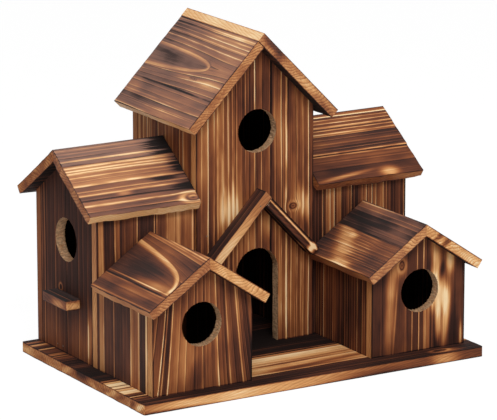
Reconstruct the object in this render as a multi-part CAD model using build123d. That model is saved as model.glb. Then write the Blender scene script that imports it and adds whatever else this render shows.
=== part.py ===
from build123d import *
from math import cos, radians, sin, tan
import os

# Multi-chamber birdhouse of charred softwood boards, standing on a flat base.
# Sizes are in millimetres and angles in degrees, and a seam in a sloping board is placed by its
# share of the board's length from the ridge. While it is built, the origin is the base's
# front left top corner, X runs to the right, Y to the back and Z up. At the end everything
# moves together so that the origin is the middle of the underside.

# Board stock: every piece is cut from one thickness
board = 9.0
opening_radius = 19.0

# Base, edge-glued from four planks laid side by side, front to back. Its width is what stands
# on it, side by side, with a margin at each end.
base_depth = 221.0
base_plank_seams = [24.2, 73.5, 146.7]
base_corner_radius = 2.0
base_left_margin = 16.9
base_right_margin = 8.4

# Two small houses in front of the wings
house_width = 96.2
left_house_clearance = 0.4
right_house_clearance = 3.9
left_house_front = 15.1
right_house_front = 18.5
house_ridge_height = 117.5
right_house_ridge_drop = 1.4
house_roof_angle = 34.0
house_eave_overhang = 10.8
left_house_roof_overhang = 13.3
right_house_roof_overhang = 12.1
left_house_roof_gap = 4.6
left_house_hole_offset = -0.9
right_house_hole_offset = 1.1
left_house_hole_drop = 60.4
right_house_hole_drop = 61.9
left_house_seam_share = 0.725
right_house_seam_share = 0.429

# Wings on both sides of the tower. Their eaves clear the ridges of the small houses.
wing_setback = 2.0
left_wing_end_step = 0.2
right_wing_end_step = -1.8
wing_roof_angle = 34.3
wing_eave_overhang = 12.3
wing_eave_clearance = 12.7
left_wing_roof_overhang = 12.4
right_wing_roof_overhang = 11.5
left_wing_seam_share = 0.258
right_wing_seam_share = 0.589
wing_hole_drop = 81.0
wing_gable_seam_offset = -0.6
perch_length = 45.0
perch_reach = 15.0
perch_offset = -3.4
perch_below_hole = 47.2

# Tower. Its eaves clear the ridges of the wings.
tower_width = 118.0
tower_front = 109.0
tower_roof_angle = 45.3
tower_eave_overhang = 16.3
tower_eave_clearance = 14.3
tower_roof_front_overhang = 15.6
tower_roof_rear_overhang = 5.2
tower_left_seam_share = 0.71
tower_front_seam_offset = 15.7
tower_opening_offset = 1.9
tower_hole_drop = 88.8
door_radius = 21.1
door_height = 86.3
floor_above_door = 13.7

# Two strips that form a small open gable over the door
porch_depth = 15.0
porch_roof_angle = 46.5
porch_above_door = 54.3
porch_roof_clearance = 2.0


def slope_length(across, angle):
    """Length of a sloping board that spans a level distance."""
    return across / cos(radians(angle))


def slope_drop(length, angle):
    """Height from the top of a roof down to the lowest corner of its sloping board."""
    return length * sin(radians(angle)) + board * cos(radians(angle))


# Values that follow from the ones above, from left to right
left_house_left = base_left_margin
tower_left = left_house_left + house_width + left_house_clearance
tower_right = tower_left + tower_width
right_house_left = tower_right + right_house_clearance
base_width = right_house_left + house_width + base_right_margin
left_wing_length = left_house_clearance + house_width + left_wing_end_step
right_wing_length = right_house_clearance + house_width + right_wing_end_step
tower_axis = (tower_left + tower_right) / 2
opening_x = tower_axis + tower_opening_offset
tower_inner_left = tower_left + board
tower_inner_right = tower_right - board

# From front to back
tower_rear = base_depth
tower_inner_front = tower_front + board
tower_inner_rear = tower_rear - board
wing_front = tower_front + wing_setback
wing_rear = base_depth
wing_axis = (wing_front + wing_rear) / 2

# From the lowest roof to the highest
house_slope_length = slope_length(house_width / 2 + house_eave_overhang, house_roof_angle)
right_house_ridge_height = house_ridge_height - right_house_ridge_drop
wing_slope_length = slope_length(wing_axis - wing_front + wing_eave_overhang, wing_roof_angle)
wing_eave_height = house_ridge_height + wing_eave_clearance
wing_ridge_height = wing_eave_height + slope_drop(wing_slope_length, wing_roof_angle)
tower_slope_length = slope_length(tower_width / 2 + tower_eave_overhang, tower_roof_angle)
tower_eave_height = wing_ridge_height + tower_eave_clearance
tower_ridge_height = tower_eave_height + slope_drop(tower_slope_length, tower_roof_angle)
tower_hole_height = tower_ridge_height - tower_hole_drop
wing_hole_height = wing_ridge_height - wing_hole_drop
tower_left_slope_seam = tower_slope_length * tower_left_seam_share
tower_floor_height = door_height + floor_above_door
door_arch_height = door_height - door_radius

# Cutters run past both faces of the board that they cut
cutter_length = 4 * board

pieces = {}


def keep(name, solid):
    """Store one piece under its name."""
    solid.label = name
    pieces[name] = solid


def along_y(profile, front, back):
    """A solid with an outline in X and Z, from front to back."""
    outline = [Vector(x, front, z) for x, z in profile]
    face = make_face(Polyline(*outline, close=True))
    return extrude(face, amount=back - front, dir=(0, 1, 0))


def along_x(profile, left, right):
    """A solid with an outline in Y and Z, from left to right."""
    outline = [Vector(left, y, z) for y, z in profile]
    face = make_face(Polyline(*outline, close=True))
    return extrude(face, amount=right - left, dir=(1, 0, 0))


def block(low, high):
    """A box between two corners."""
    size = [high[i] - low[i] for i in range(3)]
    middle = [(high[i] + low[i]) / 2 for i in range(3)]
    return Location(middle) * Box(*size)


def bore_y(x, y, z, radius):
    """A cutter for a round hole through a board that faces the front."""
    return Location((x, y, z), (90, 0, 0)) * Cylinder(radius, cutter_length)


def bore_x(x, y, z, radius):
    """A cutter for a round hole through a board that faces the side."""
    return Location((x, y, z), (0, 90, 0)) * Cylinder(radius, cutter_length)


class Gable:
    """Cross-section of a roof of two boards: its apex, its angle and the points on both boards."""

    def __init__(self, axis, height, angle):
        self.axis = axis
        self.height = height
        self.rise = sin(radians(angle))
        self.run = cos(radians(angle))
        self.slope = tan(radians(angle))
        self.lap = board / sin(radians(2 * angle))
        self.lap_back = -board / tan(radians(2 * angle))

    def point(self, side, down, under):
        """side is -1 for the low side of the axis and 1 for the high one."""
        across = side * (down * self.run - under * self.rise)
        return (self.axis + across, self.height - down * self.rise - under * self.run)

    def inner_apex(self):
        """Where the two undersides meet."""
        return (self.axis, self.height - board / self.run)

    def underside(self, at):
        """Height of the underside at a place across the roof."""
        return self.height - board / self.run - abs(at - self.axis) * self.slope

    def length_above(self, side, roof, clearance):
        """Length of a board that ends a little above the slope of another roof."""
        reach = abs(self.axis + side * board * -self.rise - roof.axis)
        drop = self.height - board * self.run - roof.height + reach * roof.slope
        return (drop - clearance) / (self.rise + self.run * roof.slope)

    def over_board(self, side, length):
        """The board whose end laps over the other one at the ridge."""
        return [
            self.point(side, 0, 0),
            self.point(side, length, 0),
            self.point(side, length, board),
            self.point(side, self.lap_back, board),
        ]

    def under_board(self, side, length, start=None, end=None):
        """The board that butts under the lapping one, or one plank of it."""
        top = [self.lap, board * self.slope]
        upper = [start, start] if start is not None else top
        lower = end if end is not None else length
        return [
            self.point(side, upper[0], 0),
            self.point(side, lower, 0),
            self.point(side, lower, board),
            self.point(side, upper[1], board),
        ]

    def mitred_board(self, side, length, start=None, end=None):
        """A board with its ridge end cut upright, or one plank of it."""
        lower = end if end is not None else length
        if start is not None:
            inner = self.point(side, start, board)
            outer = self.point(side, start, 0)
        else:
            inner = self.inner_apex()
            outer = self.point(side, 0, 0)
        return [
            outer,
            self.point(side, lower, 0),
            self.point(side, lower, board),
            inner,
        ]

    def panel(self, low, high):
        """A gable panel that fills the space under the roof between two places."""
        outline = [(low, 0.0), (high, 0.0), (high, self.underside(high))]
        if low < self.axis < high:
            outline.append(self.inner_apex())
        outline.append((low, self.underside(low)))
        return outline


tower_gable = Gable(tower_axis, tower_ridge_height, tower_roof_angle)
porch_gable = Gable(opening_x, door_height + porch_above_door, porch_roof_angle)
wing_gable = Gable(wing_axis, wing_ridge_height, wing_roof_angle)
left_house_gable = Gable(left_house_left + house_width / 2, house_ridge_height, house_roof_angle)
right_house_gable = Gable(
    right_house_left + house_width / 2, right_house_ridge_height, house_roof_angle
)

# Base planks
seams = [0.0] + base_plank_seams + [base_depth]
plank_names = ["base_plank_front", "base_plank_second", "base_plank_third", "base_plank_rear"]
for number, name in enumerate(plank_names):
    plank = block((0, seams[number], -board), (base_width, seams[number + 1], 0))
    corners = plank.edges().filter_by(Axis.Z)
    if number == 0:
        plank = fillet(corners.group_by(Axis.Y)[0], base_corner_radius)
    if number == len(plank_names) - 1:
        plank = fillet(corners.group_by(Axis.Y)[-1], base_corner_radius)
    keep(name, plank)

# Tower: front panel of two upright planks, with the round hole and the arched door
front_cut = bore_y(opening_x, tower_front, tower_hole_height, opening_radius)
front_cut += bore_y(opening_x, tower_front, door_arch_height, door_radius)
front_cut += block(
    (opening_x - door_radius, tower_front - board, -board),
    (opening_x + door_radius, tower_inner_front + board, door_arch_height),
)
front_seam = tower_axis + tower_front_seam_offset
left_part = along_y(tower_gable.panel(tower_left, front_seam), tower_front, tower_inner_front)
right_part = along_y(tower_gable.panel(front_seam, tower_right), tower_front, tower_inner_front)
keep("tower_front_left_plank", left_part - front_cut)
keep("tower_front_right_plank", right_part - front_cut)
keep("tower_back", along_y(tower_gable.panel(tower_left, tower_right), tower_inner_rear, tower_rear))
for name, outer, inner in [
    ("tower_left_wall", tower_left, tower_inner_left),
    ("tower_right_wall", tower_inner_right, tower_right),
]:
    keep(name, along_y(tower_gable.panel(outer, inner), tower_inner_front, tower_inner_rear))
keep("tower_floor", block(
    (tower_inner_left, tower_inner_front, tower_floor_height),
    (tower_inner_right, tower_inner_rear, tower_floor_height + board),
))

# Tower roof: the right board laps over the end of the left one, which is two planks
roof_ends = (tower_front - tower_roof_front_overhang, tower_rear + tower_roof_rear_overhang)
upper = tower_gable.under_board(-1, tower_slope_length, end=tower_left_slope_seam)
lower = tower_gable.under_board(-1, tower_slope_length, start=tower_left_slope_seam)
keep("tower_roof_left_upper_plank", along_y(upper, *roof_ends))
keep("tower_roof_left_lower_plank", along_y(lower, *roof_ends))
keep("tower_roof_right", along_y(tower_gable.over_board(1, tower_slope_length), *roof_ends))

# Porch strips: the left one laps over the right one at the peak
porch_ends = (tower_front - porch_depth, tower_front)
strip_length = porch_gable.length_above(-1, left_house_gable, porch_roof_clearance)
keep("porch_strip_left", along_y(porch_gable.over_board(-1, strip_length), *porch_ends))
strip_length = porch_gable.length_above(1, right_house_gable, porch_roof_clearance)
keep("porch_strip_right", along_y(porch_gable.under_board(1, strip_length), *porch_ends))


def wing_shell(side, inner, length, roof_overhang, seam_share):
    """One wing: its walls, gable, roof and perch. Its inner end stands against the tower."""
    away = -1 if side == "left" else 1
    outer = inner + away * length
    low, high = sorted([outer, inner])
    for name, front in [("_wing_front_wall", wing_front), ("_wing_rear_wall", wing_rear - board)]:
        keep(side + name, along_x(wing_gable.panel(front, front + board), low, high))
    cut = bore_x(outer, wing_axis, wing_hole_height, opening_radius)
    gable_low, gable_high = sorted([outer, outer - away * board])
    seam = wing_axis + wing_gable_seam_offset
    for name, front, back in [
        ("_wing_gable_front_plank", wing_front + board, seam),
        ("_wing_gable_rear_plank", seam, wing_rear - board),
    ]:
        plank = along_x(wing_gable.panel(front, back), gable_low, gable_high)
        keep(side + name, plank - cut)
    roof_low, roof_high = sorted([outer + away * roof_overhang, inner])
    slope_seam = wing_slope_length * seam_share
    front_upper = wing_gable.mitred_board(-1, wing_slope_length, end=slope_seam)
    front_lower = wing_gable.mitred_board(-1, wing_slope_length, start=slope_seam)
    rear = wing_gable.mitred_board(1, wing_slope_length)
    keep(side + "_wing_roof_front_upper_plank", along_x(front_upper, roof_low, roof_high))
    keep(side + "_wing_roof_front_lower_plank", along_x(front_lower, roof_low, roof_high))
    keep(side + "_wing_roof_rear", along_x(rear, roof_low, roof_high))
    perch_low, perch_high = sorted([outer, outer + away * perch_reach])
    perch_front = wing_axis + perch_offset - perch_length / 2
    perch_top = wing_hole_height - perch_below_hole
    keep(side + "_wing_perch", block(
        (perch_low, perch_front, perch_top - board),
        (perch_high, perch_front + perch_length, perch_top),
    ))


wing_shell("left", tower_left, left_wing_length, left_wing_roof_overhang, left_wing_seam_share)
wing_shell("right", tower_right, right_wing_length, right_wing_roof_overhang, right_wing_seam_share)


def small_house(side, gable, front, roof_overhang, roof_rear, hole_offset, hole_drop, seam_share):
    """One small house: front panel, two side walls and a roof with a mitred ridge."""
    left = gable.axis - house_width / 2
    right = gable.axis + house_width / 2
    cut = bore_y(gable.axis + hole_offset, front, gable.height - hole_drop, opening_radius)
    panel = along_y(gable.panel(left, right), front, front + board)
    keep(side + "_house_front", panel - cut)
    for name, low, high in [
        ("_house_left_wall", left, left + board),
        ("_house_right_wall", right - board, right),
    ]:
        keep(side + name, along_y(gable.panel(low, high), front + board, wing_front))
    ends = (front - roof_overhang, roof_rear)
    slope_seam = house_slope_length * seam_share
    upper_plank = gable.mitred_board(-1, house_slope_length, end=slope_seam)
    lower_plank = gable.mitred_board(-1, house_slope_length, start=slope_seam)
    keep(side + "_house_roof_left_upper_plank", along_y(upper_plank, *ends))
    keep(side + "_house_roof_left_lower_plank", along_y(lower_plank, *ends))
    keep(side + "_house_roof_right", along_y(gable.mitred_board(1, house_slope_length), *ends))


small_house("left", left_house_gable, left_house_front, left_house_roof_overhang,
            tower_front - left_house_roof_gap, left_house_hole_offset, left_house_hole_drop,
            left_house_seam_share)
small_house("right", right_house_gable, right_house_front, right_house_roof_overhang,
            tower_front, right_house_hole_offset, right_house_hole_drop,
            right_house_seam_share)

# Everything moves together, so that the origin is the middle of the underside
bounds = Compound(children=[Part(p.wrapped) for p in pieces.values()]).bounding_box()
to_origin = Location((-bounds.center().X, -bounds.center().Y, -bounds.min.Z))

os.makedirs("parts", exist_ok=True)
for name, solid in pieces.items():
    moved = solid.moved(to_origin)
    moved.label = name
    export_step(moved, "parts/" + name + ".step")
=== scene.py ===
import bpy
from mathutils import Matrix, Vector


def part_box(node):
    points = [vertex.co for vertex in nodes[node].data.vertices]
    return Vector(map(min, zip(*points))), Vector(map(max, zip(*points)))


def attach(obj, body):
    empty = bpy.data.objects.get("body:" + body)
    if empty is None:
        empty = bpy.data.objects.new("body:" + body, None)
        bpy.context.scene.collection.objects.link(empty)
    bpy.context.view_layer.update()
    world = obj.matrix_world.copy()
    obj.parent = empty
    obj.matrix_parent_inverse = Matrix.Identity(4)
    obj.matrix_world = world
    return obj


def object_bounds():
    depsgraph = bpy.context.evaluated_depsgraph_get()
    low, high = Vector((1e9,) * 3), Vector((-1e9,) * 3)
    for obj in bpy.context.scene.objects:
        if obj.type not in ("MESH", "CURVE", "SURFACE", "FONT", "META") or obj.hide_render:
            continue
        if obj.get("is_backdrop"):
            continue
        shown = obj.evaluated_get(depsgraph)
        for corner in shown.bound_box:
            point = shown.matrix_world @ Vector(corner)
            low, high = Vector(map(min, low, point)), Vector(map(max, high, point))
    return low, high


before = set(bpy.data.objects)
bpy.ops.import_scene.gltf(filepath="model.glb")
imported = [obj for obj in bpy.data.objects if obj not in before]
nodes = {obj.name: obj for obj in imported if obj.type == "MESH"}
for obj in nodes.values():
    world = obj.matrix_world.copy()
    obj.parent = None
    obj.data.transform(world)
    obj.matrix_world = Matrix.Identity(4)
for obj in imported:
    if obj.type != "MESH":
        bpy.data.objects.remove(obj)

import inspect
import math
from collections import namedtuple

import bmesh
import bpy
from mathutils import Vector

bl_info = {
    "name": "Multi-chamber birdhouse",
    "version": (1, 0, 0),
    "blender": (4, 5, 0),
    "location": "3D View > Sidebar > Birdhouse",
    "description": "Dresses the boards of a birdhouse with torched softwood, nails and a plain stage",
    "category": "Add Mesh",
}

BODY = "root"
MM = 0.001
cad_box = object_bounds()

# How often the faces of a board are halved, for its uneven edges
FINENESS = 5
BASE_FINENESS = 4
RIM_FINENESS = 3
PERCH_FINENESS = 1

# Edges of the boards, in mm, with the least angle of a sharp edge in degrees
WORN_DEPTH = 9
FRAY = 0.5
FRAY_DEPTH = 2.5
PERCH_ROUNDER = 3
WELD_GAP = 0.01
SHARP_ANGLE = 35


def from_hex(code):
    """A colour written as in a paint chart, as Blender's linear values."""
    parts = [int(code[i:i + 2], 16) / 255 for i in (0, 2, 4)]
    return tuple(c / 12.92 if c <= 0.04045 else ((c + 0.055) / 1.055) ** 2.4 for c in parts)


def colour_property(name, description, code):
    """A colour setting with its default."""
    return bpy.props.FloatVectorProperty(
        name=name, description=description, default=from_hex(code), size=3, min=0, max=1, subtype="COLOR"
    )


def length_property(name, description, default, most):
    """A small length setting, given in mm."""
    return bpy.props.FloatProperty(
        name=name, description=description, default=default * MM, min=0, max=most * MM,
        precision=5, subtype="DISTANCE", unit="LENGTH",
    )


class WoodColours(bpy.types.PropertyGroup):
    """Tones of torched softwood, from char to bare wood, and the colours beside them."""

    char: colour_property("Char", "Wood that the torch turned almost black", "140b09")
    scorch: colour_property("Scorch", "Deep brown of burnt early wood", "371e17")
    brown: colour_property("Brown", "Middle brown of toasted wood", "633623")
    amber: colour_property("Amber", "Orange brown between the burnt bands", "8d512e")
    tan: colour_property("Tan", "Lightly toasted wood", "b67847")
    honey: colour_property("Honey", "Bright late wood", "dfa76c")
    cream: colour_property("Cream", "Bare wood and the brightest grain lines", "f6d7a8")
    rim: colour_property("Rim", "Bored edge of the holes", "c09a76")
    # Painted sheen: a grey-mauve tint mixed into the roofs' colour, standing in for their reflection of the
    # white surroundings
    haze: colour_property("Haze", "Dull sheen of soot on the roofs", "a88f84")
    nail: colour_property("Nail", "Heads of the brad nails", "7d7264")


class BoardSizes(bpy.types.PropertyGroup):
    """Small sizes that the boards share."""

    edge_round: length_property("Edge rounding", "Radius of the sanded edges", 0.5, 2)
    relief: length_property("Grain relief", "Height of the brushed grain lines", 0.3, 1)


# Frames of the boards. Along, across and depth are millimetres on a board. On upright boards
# along is the height above the base and across runs from the base's left end or front edge.
# On sloping ones along runs with the ridge and across is the distance down from it.

def low(name):
    """Lowest corner of the box round a board."""
    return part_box(name)[0]


def high(name):
    """Highest corner of the box round a board."""
    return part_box(name)[1]


def middle(name, axis):
    """Middle of a board along one axis."""
    return (low(name)[axis] + high(name)[axis]) / 2


CORNER = Vector((low("base_plank_front").x, low("base_plank_front").y, high("base_plank_front").z))
X, Y, Z = Vector((1, 0, 0)), Vector((0, 1, 0)), Vector((0, 0, 1))


def upright(outward):
    """Frame of a wall: the grain runs up."""
    return lambda node: (CORNER, Z, X if abs(outward.y) > 0.5 else Y, outward)


def flat(node):
    """Frame of a base plank: the grain runs from left to right."""
    return (CORNER, X, Y, Z)


def shelf(node):
    """Frame of a perch: the grain runs from front to back."""
    return (CORNER, Y, X, Z)


def main_normal(node):
    """Upward normal of the largest face of a board."""
    sums = {}
    for face in nodes[node].data.polygons:
        if face.normal.z > 0.1:
            key = tuple(round(c, 2) for c in face.normal)
            sums[key] = sums.get(key, 0) + face.area
    return Vector(max(sums, key=sums.get)).normalized()


def sloping(ridge, along):
    """Frame of a roof board below a ridge point: the grain runs with the ridge."""
    def frame_of(node):
        outward = main_normal(node)
        across = outward.cross(along)
        if across.z > 0:
            across = -across
        origin = ridge - along * ridge.dot(along) + along * CORNER.dot(along)
        return (origin, along, across, outward)
    return frame_of


def strip(node):
    """Frame of a porch strip: the grain runs down the slope."""
    outward = main_normal(node)
    along = outward.cross(Y)
    if along.z > 0:
        along = -along
    top = Vector((porch_x, low(node).y, high("porch_strip_left").z))
    return (top, along, Y, outward)


tower_x = middle("tower_back", 0)
porch_x = (high("porch_strip_left").x + low("porch_strip_right").x) / 2
wing_y = (low("left_wing_front_wall").y + high("left_wing_rear_wall").y) / 2
tower_ridge = Vector((tower_x, 0, high("tower_roof_right").z))
wing_ridge = Vector((0, wing_y, high("left_wing_roof_rear").z))
left_ridge = Vector((middle("left_house_front", 0), 0, high("left_house_roof_right").z))
right_ridge = Vector((middle("right_house_front", 0), 0, high("right_house_roof_right").z))

front = upright(-Y)
back = upright(Y)
left = upright(-X)
right = upright(X)
tower_slope = sloping(tower_ridge, Y)
wing_slope = sloping(wing_ridge, X)
left_slope = sloping(left_ridge, Y)
right_slope = sloping(right_ridge, Y)


# What the torch and the tree left on a board, and a few dark patches of painted shade where parts meet:
# places and sizes in mm, in the board's frame, and turns in radians. Tones run from 0, char, to 1, cream,
# and a mark's tone is added to the board's.
Spot = namedtuple("Spot", "along across length width tone turn", defaults=(0,))
Line = namedtuple("Line", "along across width tone reach", defaults=(400,))
Stripe = namedtuple("Stripe", "along across width tone reach soft", defaults=(400, 0.6))
Arch = namedtuple("Arch", "along across length width thick tone inside tilt lower", defaults=(0, 1))
Knot = namedtuple("Knot", "along across radius stretch halo")

# A way in: its middle, its radius, and whether it runs straight down from its middle to the base
Opening = namedtuple("Opening", "along across radius foot", defaults=(False,))

# place, the board's frame; seed, which sets its grain apart; level, the tone of its broad faces
# spacing, between growth rings; pith, the tree's middle across and in depth; wave of the rings
# burn, line, band, streak: strength of the scorching, late wood, ring shades and fine streaks
# gloss, its sheen; then how much painted sheen, a stand-in for the reflection of the white surroundings, is
# mixed into its colour; end and edge, tones of the sawn ends and the long edges
# fan, where and how far the grain spreads upwards; worn, at the start and end along, then across
# edge_spots lie along and in depth, end_spots across and in depth
Board = namedtuple(
    "Board",
    "place seed level spacing pith wave burn line band streak gloss veil end edge fan worn"
    " spots lines stripes knots arch opening edge_spots end_spots",
    defaults=((-90, 80), 2.5, 0.34, 0.5, 0.2, 0.46, 0.12, 0, 0.6, 0.62, (0, 0), None,
              (), (), (), (), None, None, (), ()),
)


def lines_at(along, *each, reach=400):
    """Bright lines with one middle along the board: across, width and tone of each."""
    return [Line(along, *values, reach) for values in each]


def stripes_at(along, *each, reach=400, soft=0.6):
    """Bands with one middle along the board: across, width and tone of each."""
    return [Stripe(along, *values, reach, soft) for values in each]


def streaks(reach, *each):
    """Short pale bands side by side where the torch was held off: across and middle of each."""
    return [Stripe(along, across, 2.2, 0.2, reach, 0.8) for across, along in each]


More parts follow.
